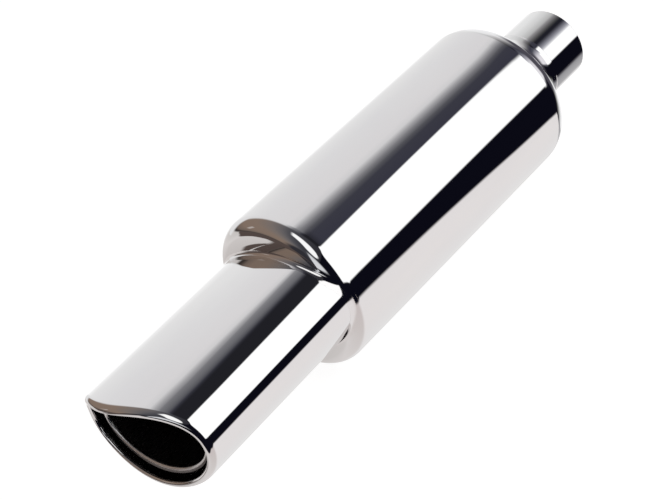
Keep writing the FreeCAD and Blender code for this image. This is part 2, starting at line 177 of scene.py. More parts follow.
def turned_piece(name, section, material, node, start=0.0, sweep=FULL):
    """Turn a closed section about the X axis, right round or over part of a turn."""
    whole = sweep >= FULL
    steps = TURNS if whole else max(2, round(TURNS * sweep / FULL))
    rows = steps if whole else steps + 1
    points = []
    for i in range(rows):
        angle = start + sweep * i / steps
        points += [(x, r * math.cos(angle), r * math.sin(angle)) for x, r in section]
    faces = grid_faces(rows, len(section), wrap_rows=whole)
    if not whole:
        last = (rows - 1) * len(section)
        faces.append(tuple(range(len(section))))
        faces.append(tuple(reversed(range(last, last + len(section)))))
    return add_piece(name, points, faces, material, node)


def arc(centre, radius, first, last):
    """Points on an arc in a section, from one angle to another."""
    steps = max(2, math.ceil(abs(last - first) / ARC_STEP))
    angles = [first + (last - first) * i / steps for i in range(steps + 1)]
    return [(centre[0] + radius * math.cos(a), centre[1] + radius * math.sin(a)) for a in angles]


def rounded_tube(start, end, inner, outer):
    """The section of a tube whose four edges are a little rounded."""
    e = EDGE_ROUND
    right, half = 0.0, math.pi / 2
    section = arc((end - e, inner + e), e, -half, right)
    section += arc((end - e, outer - e), e, right, half)
    section += arc((start + e, outer - e), e, half, 2 * half)
    section += arc((start + e, inner + e), e, 2 * half, 3 * half)
    return section


def bent_path(start, bends):
    """Points along arcs laid end to end, from level; a bend is a radius and a turn, below 0 downward."""
    x, r = start
    heading = 0.0
    points = [start]
    for radius, turn in bends:
        steps = math.ceil(abs(turn) / ARC_STEP)
        half = turn / steps / 2
        chord = 2 * radius * math.sin(abs(half))
        for _ in range(steps):
            heading += half
            x, r = x + chord * math.cos(heading), r + chord * math.sin(heading)
            heading += half
            points.append((x, r))
    return points


def cap_outlines(knuckle, slope, foot_slope, throat):
    """The outer and inner outline of a spun cap, from its tangent line to its collar."""
    bends_drop = knuckle * (1 - math.cos(slope)) + throat * (1 - math.cos(foot_slope))
    drop = body_radius - collar_radius - bends_drop
    face = drop / (math.cos(slope) - math.cos(foot_slope))
    turns = (-slope, slope - foot_slope, foot_slope)
    outer = bent_path((0.0, body_radius), list(zip((knuckle, face, throat), turns)))
    inner_radii = (knuckle - CAP_WALL, face - CAP_WALL, throat + CAP_WALL)
    inner = bent_path((0.0, body_radius - CAP_WALL), list(zip(inner_radii, turns)))
    return outer, inner


def cap_section(tangent, outlines, end, sign):
    """The section of a spun cap with its skirt and collar; sign is its way along X."""
    outer = [(-CAP_SKIRT, body_radius)] + outlines[0] + [(end, collar_radius)]
    inner = [(-CAP_SKIRT, body_radius - CAP_WALL)] + outlines[1] + [(end, collar_bore)]
    return [(tangent + sign * x, r) for x, r in outer + inner[::-1]]


rear_outlines = cap_outlines(REAR_KNUCKLE, REAR_SLOPE, REAR_FOOT_SLOPE, REAR_THROAT)
front_outlines = cap_outlines(FRONT_KNUCKLE, FRONT_SLOPE, FRONT_FOOT_SLOPE, FRONT_THROAT)


def front_face(radius):
    """Where the front cap's outer face lies along X, at a distance from the axis."""
    outline = front_outlines[0]
    for (x0, r0), (x1, r1) in zip(outline, outline[1:]):
        if r1 <= radius <= r0:
            return front_tangent + x0 + (x1 - x0) * (r0 - radius) / (r0 - r1)
    return front_tangent


# Tip helpers

def tip_drop(x):
    """How far the tip's own axis lies below the canister's axis."""
    return TIP_DROP * (x - front_tangent) / TIP_REACH


def on_oval(turn):
    """A point of the tip's oval about its own axis, and the direction inward from it."""
    y, z = tip_half_width * math.cos(turn), TIP_HALF_HEIGHT * math.sin(turn)
    inward = Vector((0, -math.cos(turn) / tip_half_width, -math.sin(turn) / TIP_HALF_HEIGHT))
    return Vector((0, y, z)), inward.normalized()


def mouth_curve(height):
    """How far the mouth's outline reaches past its deepest line, at a height over the tip's axis."""
    edge = TIP_HALF_HEIGHT - LIP_RADIUS
    over = height - DEEPEST_HEIGHT
    span = edge - DEEPEST_HEIGHT if over > 0 else edge + DEEPEST_HEIGHT
    rise = UPPER_LIP_RISE if over > 0 else LOWER_LIP_RISE
    radius = (span * span + rise * rise) / (2 * rise)
    return radius - math.sqrt(max(0.0, radius * radius - over * over))


def place_on_tip(turn, x, inset):
    """A point of the tip at a turn round its oval, a station along X and an inset from the skin."""
    base, inward = on_oval(turn)
    point = base + inward * inset
    return (x, point.y, point.z - tip_drop(x))


def skin_foot(turn, inset):
    """The station where the tip's wall stands on the front cap."""
    x = front_tangent
    for _ in range(FOOT_PASSES):
        _, y, z = place_on_tip(turn, x, inset)
        x = front_face(math.hypot(y, z)) + WELD_GAP
    return x


def skin_section(turn):
    """The tip's wall from its foot over the rolled lip, round its hem and back inside, as (x, inset)."""
    base, inward = on_oval(turn)
    lip = mouth_side + mouth_curve((base + inward * LIP_RADIUS).z)
    half = math.pi / 2
    roll_x = lip - LIP_RADIUS
    roll_depth = LIP_RADIUS - HEM_ROUND
    foot = skin_foot(turn, 0)
    section = [(foot + (roll_x - foot) * (i / WALL_ROWS) ** 2, 0.0) for i in range(WALL_ROWS)]
    for i in range(ROLL_ROWS):
        angle = half * i / ROLL_ROWS
        section.append((roll_x + LIP_RADIUS * math.sin(angle), roll_depth * (1 - math.cos(angle))))
    section += arc((lip - HEM_ROUND, roll_depth), HEM_ROUND, 0, half)
    section += arc((lip - HEM_DEPTH + HEM_ROUND, roll_depth), HEM_ROUND, half, 2 * half)
    inner_depth = LIP_RADIUS - HEM_ROUND - TIP_WALL
    inner_reach = LIP_RADIUS - HEM_DEPTH
    for i in range(ROLL_ROWS + 1):
        angle = half * (1 - i / ROLL_ROWS)
        depth = TIP_WALL + inner_depth * (1 - math.cos(angle))
        section.append((roll_x + inner_reach * math.sin(angle), depth))
    inner_foot = skin_foot(turn, TIP_WALL)
    for i in range(1, WALL_ROWS + 1):
        section.append((roll_x + (inner_foot - roll_x) * i / WALL_ROWS, TIP_WALL))
    return section


def tip_grid(section_of):
    """The points of a tip form, and how many each section has, by a function that gives the sections."""
    points = []
    for i in range(TURNS):
        turn = FULL * i / TURNS
        section = section_of(turn)
        points += [place_on_tip(turn, x, inset) for x, inset in section]
    return points, len(section)


def ease(value, start, end):
    """0 before the start, 1 past the end and a straight line between."""
    return min(1.0, max(0.0, (value - start) / (end - start)))


def lean_normals(piece, columns, straight, rolled):
    """Lean a tip piece's smooth normals, as the real section is flatter on top than a pure oval.

    A section of the piece has `columns` points: first `straight` along the wall, then `rolled` round the lip.
    """
    mesh = piece.data
    normals = [corner.vector.copy() for corner in mesh.corner_normals]
    for loop in mesh.loops:
        normal = normals[loop.index]
        column = loop.vertex_index % columns
        if column > straight + rolled:
            continue
        place = mesh.vertices[loop.vertex_index].co
        outward = math.copysign(1, normal.y * place.y + normal.z * place.z)
        angle = math.degrees(math.atan2(outward * normal.z, outward * normal.y))
        share = ease(place.x, front_tangent, mouth_side)
        side_lean = FOOT_LEAN + (MOUTH_LEAN - FOOT_LEAN) * share
        lean = side_lean + (TOP_LEAN * (1 - share) - side_lean) * ease(angle, *TOP_LEAN_STARTS)
        lean *= (1 - ease(angle, *WALL_LEAN_ENDS)) * (1 - ease(-angle, *LOW_LEAN_ENDS))
        lip_lean = LIP_LEAN * ease(angle, *LIP_LEAN_STARTS) + LIP_END_LEAN * ease(angle, *LIP_END_STARTS)
        lip_lean *= 1 - ease(angle, *LIP_LEAN_ENDS)
        lean += (lip_lean - lean) * ease(column, straight, straight + LEAN_BLEND_ROWS)
        normal.rotate(Matrix.Rotation(-lean, 3, "X"))
    mesh.normals_split_custom_set([tuple(normal) for normal in normals])


def flare_normals(piece, amount):
    """Turn a tube's smooth normals a little towards -X, as a pipe end swells slightly towards its mouth."""
    mesh = piece.data
    normals = [corner.vector.copy() for corner in mesh.corner_normals]
    for loop in mesh.loops:
        normal = normals[loop.index]
        place = mesh.vertices[loop.vertex_index].co
        normal.x -= amount * (normal.y * place.y + normal.z * place.z) / math.hypot(place.y, place.z)
        normal.normalize()
    mesh.normals_split_custom_set([tuple(normal) for normal in normals])


def bead_section(turn):
    """The dressed fillet weld round the tip's foot, hollow like a thumb's stroke, as (x, inset)."""
    foot = skin_foot(turn, 0)
    _, y, z = place_on_tip(turn, foot, 0)
    room = body_radius - math.hypot(y, z)
    reach = min(BEAD_OUT, max(BEAD_LEAST_OUT, room - BEAD_EDGE_MARGIN))
    toe_x = skin_foot(turn, -reach) - WELD_GAP / 2
    corner = (foot - WELD_GAP / 2, 0.0)
    top = (foot + BEAD_UP, -BEAD_LIFT)
    toe = (toe_x, -reach)
    section = []
    for i in range(BEAD_STROKES + 1):
        t = i / BEAD_STROKES
        weighted = list(zip(((1 - t) ** 2, 2 * t * (1 - t), t ** 2), (top, corner, toe)))
        section.append(tuple(sum(w * p[k] for w, p in weighted) for k in (0, 1)))
    section.append((skin_foot(turn, -reach / 2) - WELD_GAP, -reach / 2))
    section.append(corner)
    return section


def liner_section_at(turn, inset, radius, stations):
    """One side of the inner tube, from its round socket to its oval mouth, as points in space."""
    points = []
    half_width, half_height = tip_half_width - inset, TIP_HALF_HEIGHT - inset
    across, up = math.cos(turn), math.sin(turn)
    oval_x = mouth_side - LINER_OVAL
    socket_x = liner_low.x + LINER_SOCKET
    for kind, share in stations:
        if kind == "socket":
            x = liner_low.x + (socket_x - liner_low.x) * share
            y, z = radius * across, radius * up
        elif kind == "cone":
            x = socket_x + (oval_x - socket_x) * share
            y = (radius + (half_width - radius) * share) * across
            z = (radius + (half_height - radius) * share) * up - tip_drop(oval_x) * share
        else:
            z_own = half_height * up
            end = mouth_side - LINER_SETBACK + mouth_curve(z_own)
            x = oval_x + (end - oval_x) * share
            y, z = half_width * across, z_own - tip_drop(x)
        points.append((x, y, z))
    return points


# Materials

# Between which of its values a noise is spread, as it seldom goes further
NOISE_LOW = 0.3
NOISE_HIGH = 0.7


def new_material(name):
    """An empty node material with its shader."""
    material = bpy.data.materials.new(name)
    material.use_nodes = True
    shader = material.node_tree.nodes["Principled BSDF"]
    return material, material.node_tree, shader


def add_node(tree, kind, **values):
    """A shader node with its settings and input values."""
    made = tree.nodes.new(kind)
    for key, value in values.items():
        if key in made.inputs:
            made.inputs[key].default_value = value
        else:
            setattr(made, key, value)
    return made


def stretched_noise(tree, stretch, scale, detail=3.0):
    """Noise over the piece's own coordinates, stretched by a different amount each way."""
    where = add_node(tree, "ShaderNodeTexCoord")
    mapping = add_node(tree, "ShaderNodeMapping", Scale=stretch)
    noise = add_node(tree, "ShaderNodeTexNoise", Scale=scale, Detail=detail)
    tree.links.new(where.outputs["Object"], mapping.inputs["Vector"])
    tree.links.new(mapping.outputs["Vector"], noise.inputs["Vector"])
    return noise


def spread(tree, source, low, high, socket):
    """Drive a socket with a noise, spread between two values."""
    ranged = add_node(tree, "ShaderNodeMapRange")
    ranged.inputs["From Min"].default_value = NOISE_LOW
    ranged.inputs["From Max"].default_value = NOISE_HIGH
    ranged.inputs["To Min"].default_value = low
    ranged.inputs["To Max"].default_value = high
    tree.links.new(source.outputs["Fac"], ranged.inputs["Value"])
    tree.links.new(ranged.outputs["Result"], socket)


def tint(tree, source, first, second, socket):
    """Drive a colour socket with a noise that runs between two colours."""
    ramp = add_node(tree, "ShaderNodeValToRGB")
    ramp.color_ramp.elements[0].position = NOISE_LOW
    ramp.color_ramp.elements[1].position = NOISE_HIGH
    ramp.color_ramp.elements[0].color = (*first, 1)
    ramp.color_ramp.elements[1].color = (*second, 1)
    tree.links.new(source.outputs["Fac"], ramp.inputs["Fac"])
    tree.links.new(ramp.outputs["Color"], socket)


def bump(tree, source, height, shader, below=None):
    """A bump from a noise, on top of another if one is given."""
    made = add_node(tree, "ShaderNodeBump", Strength=1.0, Distance=height)
    tree.links.new(source.outputs["Fac"], made.inputs["Height"])
    if below is not None:
        tree.links.new(below.outputs["Normal"], made.inputs["Normal"])
    tree.links.new(made.outputs["Normal"], shader.inputs["Normal"])
    return made


def polished_metal(name, first, second, smooth, hazy, buffing, wave):
    """Mirror-polished stainless steel: buffing lines along the piece and a faint long wave in the sheet.

    The heights of both are in metres.
    """
    material, tree, shader = new_material(name)
    shader.inputs["Metallic"].default_value = 1.0
    shade = stretched_noise(tree, stretch=(3, 9, 9), scale=4.0)
    tint(tree, shade, first, second, shader.inputs["Base Color"])
    haze = stretched_noise(tree, stretch=(30, 260, 260), scale=6.0)
    spread(tree, haze, smooth, hazy, shader.inputs["Roughness"])
    long_wave = stretched_noise(tree, stretch=(5, 14, 14), scale=2.0, detail=1.0)
    fine = stretched_noise(tree, stretch=(60, 900, 900), scale=3.0, detail=2.0)
    low = bump(tree, long_wave, wave, shader)
    bump(tree, fine, buffing, shader, low)
    return material


def plain_steel(name, first, second, smooth, hazy, grain):
    """Rolled stainless steel as it leaves the mill, with its grain along the tube."""
    material, tree, shader = new_material(name)
    shader.inputs["Metallic"].default_value = 1.0
    lines = stretched_noise(tree, stretch=(20, 600, 600), scale=4.0)
    tint(tree, lines, first, second, shader.inputs["Base Color"])
    spread(tree, lines, smooth, hazy, shader.inputs["Roughness"])
    bump(tree, lines, grain, shader)
    return material


def weld_metal(name, first, second, smooth, hazy, ripple):
    """Weld metal: close ripples across the bead and straw-coloured heat marks."""
    material, tree, shader = new_material(name)
    shader.inputs["Metallic"].default_value = 1.0
    marks = stretched_noise(tree, stretch=(120, 120, 120), scale=2.0)
    tint(tree, marks, first, second, shader.inputs["Base Color"])
    spread(tree, marks, smooth, hazy, shader.inputs["Roughness"])
    close = stretched_noise(tree, stretch=(700, 700, 700), scale=1.0, detail=1.0)
    bump(tree, close, ripple, shader)
    return material


def strands(name, first, second, metallic, smooth, hazy, depth):
    """Loose strands, as of steel wool or glass fibre, wound round the core."""
    material, tree, shader = new_material(name)
    shader.inputs["Metallic"].default_value = metallic
    threads = stretched_noise(tree, stretch=(1600, 260, 260), scale=1.0, detail=5.0)
    tint(tree, threads, first, second, shader.inputs["Base Color"])
    spread(tree, threads, smooth, hazy, shader.inputs["Roughness"])
    bump(tree, threads, depth, shader)
    return material


mirror = polished_metal("mirror_polish", (0.79, 0.79, 0.795), (0.81, 0.81, 0.81),
                        smooth=0.012, hazy=0.035, buffing=6e-7, wave=2e-5)
mill_steel = plain_steel("mill_steel", (0.50, 0.49, 0.48), (0.60, 0.59, 0.58),
                         smooth=0.18, hazy=0.34, grain=1e-5)
bright_steel = plain_steel("bright_steel", (0.76, 0.755, 0.75), (0.82, 0.815, 0.81),
                           smooth=0.26, hazy=0.34, grain=1e-6)
# Steel darkened to a tone of painted shade, for the inner tube and its support ring deep inside the tip and
# canister; the inner tube's hem keeps the steel's own bright tone
painted_shade_steel = plain_steel("painted_shade_steel", (0.20, 0.19, 0.19), (0.25, 0.24, 0.235),
                           smooth=0.24, hazy=0.30, grain=2e-6)
polished_weld = weld_metal("polished_weld", (0.76, 0.755, 0.755), (0.80, 0.795, 0.79),
                           smooth=0.03, hazy=0.07, ripple=3e-6)
foot_weld = weld_metal("foot_weld", (0.77, 0.76, 0.76), (0.80, 0.79, 0.79),
                       smooth=0.06, hazy=0.09, ripple=1e-6)
raw_weld = weld_metal("raw_weld", (0.42, 0.36, 0.30), (0.60, 0.57, 0.54),
                      smooth=0.25, hazy=0.45, ripple=6e-5)
wool = strands("steel_wool", (0.20, 0.20, 0.20), (0.62, 0.61, 0.60),
               metallic=1.0, smooth=0.35, hazy=0.55, depth=4e-4)
fibre = strands("glass_fibre", (0.72, 0.68, 0.58), (0.93, 0.92, 0.88),
                metallic=0.0, smooth=0.6, hazy=0.8, depth=5e-4)

# Canister and pipes

inlet_section = rounded_tube(0.0, pipe_high.x, pipe_radius - PIPE_WALL, pipe_radius)
inlet_tube = turned_piece("inlet_tube", inlet_section, mirror, "inlet_pipe")
flare_normals(inlet_tube, PIPE_FLARE)
turned_piece("rear_cap", cap_section(rear_tangent, rear_outlines, rear_tangent - rear_low.x, -1),
             mirror, "rear_end_cap")
turned_piece("front_cap", cap_section(front_tangent, front_outlines, front_high.x - front_tangent, 1),
             mirror, "front_end_cap")


def sheet_section(start, end):
    """The section of the canister's sheet between two stations."""
    return [(start, body_radius - SHELL_WALL), (end, body_radius - SHELL_WALL),
            (end, body_radius), (start, body_radius)]


shell_section = sheet_section(shell_low.x, shell_high.x)
seam_turn = 2 * math.asin(SEAM_WIDTH / 2 / body_radius)
bottom = -math.pi / 2
turned_piece("canister_shell", shell_section, mirror, "body_shell",
             start=bottom + seam_turn / 2, sweep=FULL - seam_turn)
turned_piece("bottom_seam", shell_section, polished_weld, "shell_seam_weld",
             start=bottom - seam_turn / 2, sweep=seam_turn)
turned_piece("rear_girth_ring", sheet_section(rear_weld_low.x, rear_weld_high.x),
             mirror, "rear_girth_weld")
turned_piece("front_girth_ring", sheet_section(front_weld_low.x, front_weld_high.x),
             mirror, "front_girth_weld")

# Tip

points, columns = tip_grid(skin_section)
tip_shell = add_piece("tip_shell", points, grid_faces(TURNS, columns), mirror, "tip_skin")
lean_normals(tip_shell, columns, straight=WALL_ROWS, rolled=ROLL_ROWS)
points, columns = tip_grid(bead_section)
foot_bead = add_piece("tip_foot_bead", points, grid_faces(TURNS, columns), foot_weld, "tip_base_weld")
lean_normals(foot_bead, columns, straight=columns, rolled=0)

socket_bore = pipe_radius + COLLAR_CLEARANCE
stations = [("socket", 0), ("socket", 1)]
stations += [("cone", i / CONE_STEPS) for i in range(1, CONE_STEPS + 1)]
stations += [("oval", i / OVAL_STEPS) for i in range(1, OVAL_STEPS + 1)]
points = []
for i in range(TURNS):
    turn = FULL * i / TURNS
    outside = liner_section_at(turn, LINER_GAP, socket_bore + LINER_WALL, stations)
    inside = liner_section_at(turn, LINER_GAP + LINER_WALL, socket_bore, stations)
    points += outside + inside[::-1]
# The inner tube takes the steel darkened with painted shade
add_piece("inner_tube", points, grid_faces(TURNS, 2 * len(stations)), painted_shade_steel, "tip_liner")

hem_points = []
half_width, half_height = tip_half_width - LINER_GAP - LINER_HEM, TIP_HALF_HEIGHT - LINER_GAP - LINER_HEM
for i in range(TURNS):
    turn = FULL * i / TURNS
    y, z_own = half_width * math.cos(turn), half_height * math.sin(turn)
    across = Vector((0, math.cos(turn) / half_width, math.sin(turn) / half_height)).normalized()
    middle = mouth_side - LINER_SETBACK + mouth_curve(z_own) - LINER_HEM
    for j in range(HEM_COLUMNS):
        angle = FULL * j / HEM_COLUMNS
        reach = LINER_HEM * math.sin(angle)
        x = middle + LINER_HEM * math.cos(angle)
        hem_points.append((x, y + across.y * reach, z_own - tip_drop(x) + across.z * reach))
add_piece("inner_tube_hem", hem_points, grid_faces(TURNS, HEM_COLUMNS), bright_steel, "tip_liner")

# CAD pieces that keep their own shape

finishes = {
    "outlet_sleeve": mill_steel, "inlet_weld": polished_weld, "outlet_weld": raw_weld,
    "core_inlet_weld": raw_weld, "core_outlet_weld": raw_weld, "liner_weld": raw_weld,
    "perforated_core": mill_steel, "steel_wool_wrap": wool, "glass_fibre_packing": fibre,
    # The support ring takes the steel darkened with painted shade
    "liner_support_ring": painted_shade_steel,
}
for name, finish in finishes.items():
    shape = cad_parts[name]
    shape.data.materials.clear()
    shape.data.materials.append(finish)

# Studio

# The floor in metres, how much it glows towards the camera and how pale it is, and the tone behind all
FLOOR_SIZE = 8.0
FLOOR_GLOW = 0.86
FLOOR_TONE = 0.45
BACKDROP = (1.0, 1.0, 1.0)

# The room is given by direction. The angle round X is 0 towards +Y, 90 up and -90 down. The lean is 0
# across X and 90 straight along +X. Both are in degrees. Only reflections and light show the room.

# Tones of light panels, of the dark card and of small patches
BRIGHT = (1.18, 1.18, 1.18)
WHITE = (1.28, 1.28, 1.28)
BLACK = (0.004, 0.004, 0.009)
DEEP = (0.018, 0.018, 0.023)
SMOKE = (0.034, 0.033, 0.041)
HAZE = (0.80, 0.81, 0.84)
SHADE = (0.10, 0.074, 0.066)
DUSK = (0.20, 0.20, 0.215)
GLINT = (0.52, 0.46, 0.43)
REAR_GLOOM = (0.085, 0.080, 0.10)

# Tones of the walls: (angle round X, colour)
SIDE_TOP_TONES = (
    (55, (0.047, 0.047, 0.067)), (69, (0.052, 0.052, 0.070)), (75, (0.105, 0.105, 0.12)),
    (81, (0.235, 0.232, 0.25)), (87, (0.45, 0.445, 0.46)), (93, (0.76, 0.75, 0.76)),
    (101, (0.83, 0.81, 0.82)), (140, (0.85, 0.84, 0.85)), (172, (0.89, 0.885, 0.885)))
SIDE_LOW_TONES = (
    (-180, (0.90, 0.895, 0.895)), (-160, (1.05, 1.05, 1.05)), (-146, (1.0, 1.0, 1.0)),
    (-140, (0.80, 0.79, 0.785)), (-124, (0.85, 0.84, 0.835)), (-110, (0.88, 0.86, 0.86)),
    (-70, (0.92, 0.88, 0.875)), (-40, (0.92, 0.88, 0.88)))
FRONT_TOP_TONES = (
    (45, SMOKE), (76, (0.062, 0.062, 0.074)), (88, (0.095, 0.093, 0.105)), (98, (0.15, 0.14, 0.145)),
    (114, (0.22, 0.185, 0.17)), (135, (0.265, 0.197, 0.157)), (156, (0.26, 0.19, 0.15)),
    (165, (0.19, 0.145, 0.12)), (169.5, (0.05, 0.04, 0.035)), (171, (0.05, 0.04, 0.035)),
    (174, (0.72, 0.68, 0.66)), (180, (0.72, 0.69, 0.67)))
FRONT_LOW_TONES = (
    (-180, (0.72, 0.69, 0.67)), (-170, (0.80, 0.76, 0.745)), (-158, (0.64, 0.60, 0.585)),
    (-140, (0.66, 0.625, 0.61)), (-118, (0.79, 0.75, 0.74)), (-70, (0.72, 0.665, 0.65)),
    (-40, (0.70, 0.63, 0.62)))
INLET_TONES = (
    (-180, (1.0, 1.0, 1.0)), (-126, (0.94, 0.93, 0.93)), (-108, (0.50, 0.49, 0.50)),
    (-84, (0.42, 0.415, 0.43)), (-74, (0.35, 0.345, 0.36)), (-68, (0.12, 0.115, 0.13)), (-62, BLACK),
    (-10, BLACK), (-6, WHITE), (31, WHITE), (36, (0.72, 0.72, 0.76)), (41, (0.42, 0.42, 0.47)),
    (48, (0.22, 0.22, 0.26)), (56, (0.07, 0.07, 0.09)), (62, (0.016, 0.016, 0.024)),
    (69, (0.016, 0.016, 0.024)), (76, (0.07, 0.069, 0.072)), (84, (0.17, 0.165, 0.17)),
    (92, (0.31, 0.30, 0.31)), (100, (0.56, 0.56, 0.56)), (120, (0.76, 0.76, 0.76)),
    (150, (0.92, 0.92, 0.92)))
REAR_TONES = (
    (-180, (1.03, 1.03, 1.04)), (-100, (1.03, 1.03, 1.04)), (-84, (0.75, 0.75, 0.74)),
    (-66, (0.32, 0.32, 0.31)), (-56, (0.03, 0.03, 0.03)), (-48, BLACK), (-16, BLACK),
    (-9, (0.10, 0.10, 0.12)), (-2, (0.92, 0.90, 0.94)), (24, (0.90, 0.87, 0.92)),
    (34, (0.74, 0.72, 0.77)), (46, (0.36, 0.35, 0.40)), (57, (0.09, 0.095, 0.12)),
    (68, (0.055, 0.052, 0.075)), (78, (0.11, 0.108, 0.125)), (88, (0.27, 0.265, 0.27)),
    (96, (0.45, 0.445, 0.45)), (108, (0.66, 0.64, 0.65)), (126, (0.97, 0.97, 0.98)),
    (176, (1.03, 1.03, 1.04)))

# Where the floor side and the long panel end, at each lean: (lean, angle round X)
FLOOR_EDGE = (
    (-90, -56), (-43, -53), (-41, -50), (-38, -42), (-34, -36), (-31, -35), (-22, -35), (8, -34),
    (20, -38), (30, -46), (45, -61), (60, -82), (68, -98), (90, -150))
PANEL_LOW = ((-90, -7), (-41, -7), (-31, -9), (-22, -8.5), (-10, -5), (14, -3), (90, -3))
PANEL_HIGH = (
    (-90, 50), (-43, 51), (-41, 52.5), (-38, 52), (-31, 48.5), (-22, 49), (-10, 45), (8, 40), (90, 34))
# How soft the panel's upper edge is, and how far the tones above it are turned up: (lean, degrees)
PANEL_BLUR = ((-90, 7), (-43, 7), (-41, 4), (-38, 2.5), (90, 2.5))
TOP_SHIFT = ((-90, 4), (-42.5, 3), (-41, -1), (-31, 1), (-22, 6), (90, 6))
# Where other things start or end along X, at each angle: (angle round X, lean)
PANEL_END = ((-180, 16), (0, 14), (20, 11), (34, 6), (40, -1), (46, -14), (54, -19), (180, -19))
PATCH_LOW = ((-180, 34), (38, 34), (48, 22), (62, 12), (86, 5), (180, 5))
PATCH_HIGH = ((-180, 42), (38, 43), (48, 48), (60, 44), (69, 34), (76, 27), (86, 21), (180, 21))
BROWN_START = ((-180, -13), (150, -13), (160, -6), (172, 6), (180, 10))
SHADE_START = (
    (-180, 29), (-173, 31), (-169.5, 33), (-167, 36), (-165.2, 38.5), (-164.2, 46), (-162.4, 46),
    (-161.2, 36), (-160, 31.7), (-158, 30), (-150, 32), (-140, 40), (165, 24), (172, 24), (180, 29))
INLET_END = (
    (-180, -42.6), (-100, -43.0), (-60, -43.2), (0, -43.8), (26, -44.6), (33, -44.8), (60, -44.8),
    (80, -44.0), (160, -42.8), (180, -42.6))

# How soft the edges are that have no width of their own above, in degrees
FLOOR_BLUR = 5.0
PANEL_LOW_BLUR = 3.0
PANEL_END_BLUR = 5.0
PATCH_BLUR = 6.0
BROWN_BLUR = 11.0
SHADE_BLUR = 3.0
INLET_BLUR = 0.15

# Straight edges: (place, how soft it is), at a lean where the name says so, or else at an angle round X
DEEP_START_LEAN, DEEP_END = (-31.3, 1.6), (74.0, 8.0)
FOLD_START, FOLD_END = (78.0, 8.0), (88.0, 2.5)
FAR_DARK_START_LEAN, FAR_DARK_START = (66.0, 8.0), (76.0, 16.0)
FRONT_LOW_START_LEAN = (-14.0, 16.0)
PATCH_START, PATCH_END = (41.0, 5.0), (84.0, 6.0)
HAZE_START_LEAN, HAZE_START, HAZE_END = (58.0, 10.0), (12.0, 14.0), (63.0, 10.0)
GLINT_START, GLINT_END = (147.0, 4.0), (157.0, 4.0)
GLINT_START_LEAN, GLINT_END_LEAN = (24.0, 3.0), (30.0, 3.0)
SHADE_START_ANGLE, SHADE_END_ANGLE = (171.0, 4.0), (-145.0, 10.0)
GLOOM_END_LEAN = (-68.0, 12.0)
REAR_END_LEAN = (-49.0, 2.0)

# How much of the fold's tone is laid over the wall, and a whole turn in degrees
FOLD_STRENGTH = 0.5
WHOLE_TURN = 360.0


def math_node(tree, operation, *inputs):
    """A math node whose inputs are sockets or numbers."""
    made = add_node(tree, "ShaderNodeMath", operation=operation)
    for index, value in enumerate(inputs):
        if isinstance(value, bpy.types.NodeSocket):
            tree.links.new(value, made.inputs[index])
        else:
            made.inputs[index].default_value = value
    return made.outputs["Value"]


def product(tree, first, *others):
    """Several shares multiplied together."""
    for other in others:
        first = math_node(tree, "MULTIPLY", first, other)
    return first


def soft_step(tree, value, edge, blur):
    """0 below an edge and 1 above it, softened over a width."""
    share = math_node(tree, "DIVIDE", math_node(tree, "SUBTRACT", value, edge), blur)
    made = add_node(tree, "ShaderNodeMapRange", interpolation_type="SMOOTHSTEP")
    tree.links.new(share, made.inputs["Value"])
    made.inputs["From Min"].default_value = -0.5
    made.inputs["From Max"].default_value = 0.5
    return made.outputs["Result"]


def soft_below(tree, value, edge, blur):
    """1 below an edge and 0 above it, softened over a width."""
    return math_node(tree, "SUBTRACT", 1.0, soft_step(tree, value, edge, blur))


def curve_of(tree, value, stops):
    """A smooth curve through stops, whose values lie within half a turn of 0, in degrees."""
    first, last = stops[0][0], stops[-1][0]
    into = add_node(tree, "ShaderNodeMapRange")
    tree.links.new(value, into.inputs["Value"])
    into.inputs["From Min"].default_value = first
    into.inputs["From Max"].default_value = last
    made = add_node(tree, "ShaderNodeFloatCurve")
    points = made.mapping.curves[0].points
    while len(points) < len(stops):
        points.new(0.5, 0.5)
    for point, (x, y) in zip(points, stops):
        point.location = ((x - first) / (last - first), 0.5 + y / WHOLE_TURN)
        point.handle_type = "AUTO_CLAMPED"
    made.mapping.update()
    tree.links.new(into.outputs["Result"], made.inputs["Value"])
    return math_node(tree, "MULTIPLY_ADD", made.outputs["Value"], WHOLE_TURN, -WHOLE_TURN / 2)


def tone_ramp(tree, value, stops):
    """A colour read from stops along an angle in degrees."""
    first, last = stops[0][0], stops[-1][0]
    where = add_node(tree, "ShaderNodeMapRange")
    tree.links.new(value, where.inputs["Value"])
    where.inputs["From Min"].default_value = first
    where.inputs["From Max"].default_value = last
    ramp = add_node(tree, "ShaderNodeValToRGB")
    elements = ramp.color_ramp.elements
    while len(elements) < len(stops):
        elements.new(0.5)
    for element, (angle, colour) in zip(elements, stops):
        element.position = (angle - first) / (last - first)
        element.color = (*colour, 1)
    tree.links.new(where.outputs["Result"], ramp.inputs["Fac"])
    return ramp.outputs["Color"]


def mix_tones(tree, share, first, second):
    """One colour fading to another."""
    made = add_node(tree, "ShaderNodeMix", data_type="RGBA")
    tree.links.new(share, made.inputs["Factor"])
    for name, value in (("A", first), ("B", second)):
        socket = next(s for s in made.inputs if s.name == name and s.type == "RGBA")
        if isinstance(value, bpy.types.NodeSocket):
            tree.links.new(value, socket)
        else:
            socket.default_value = (*value, 1)
    return next(s for s in made.outputs if s.type == "RGBA")


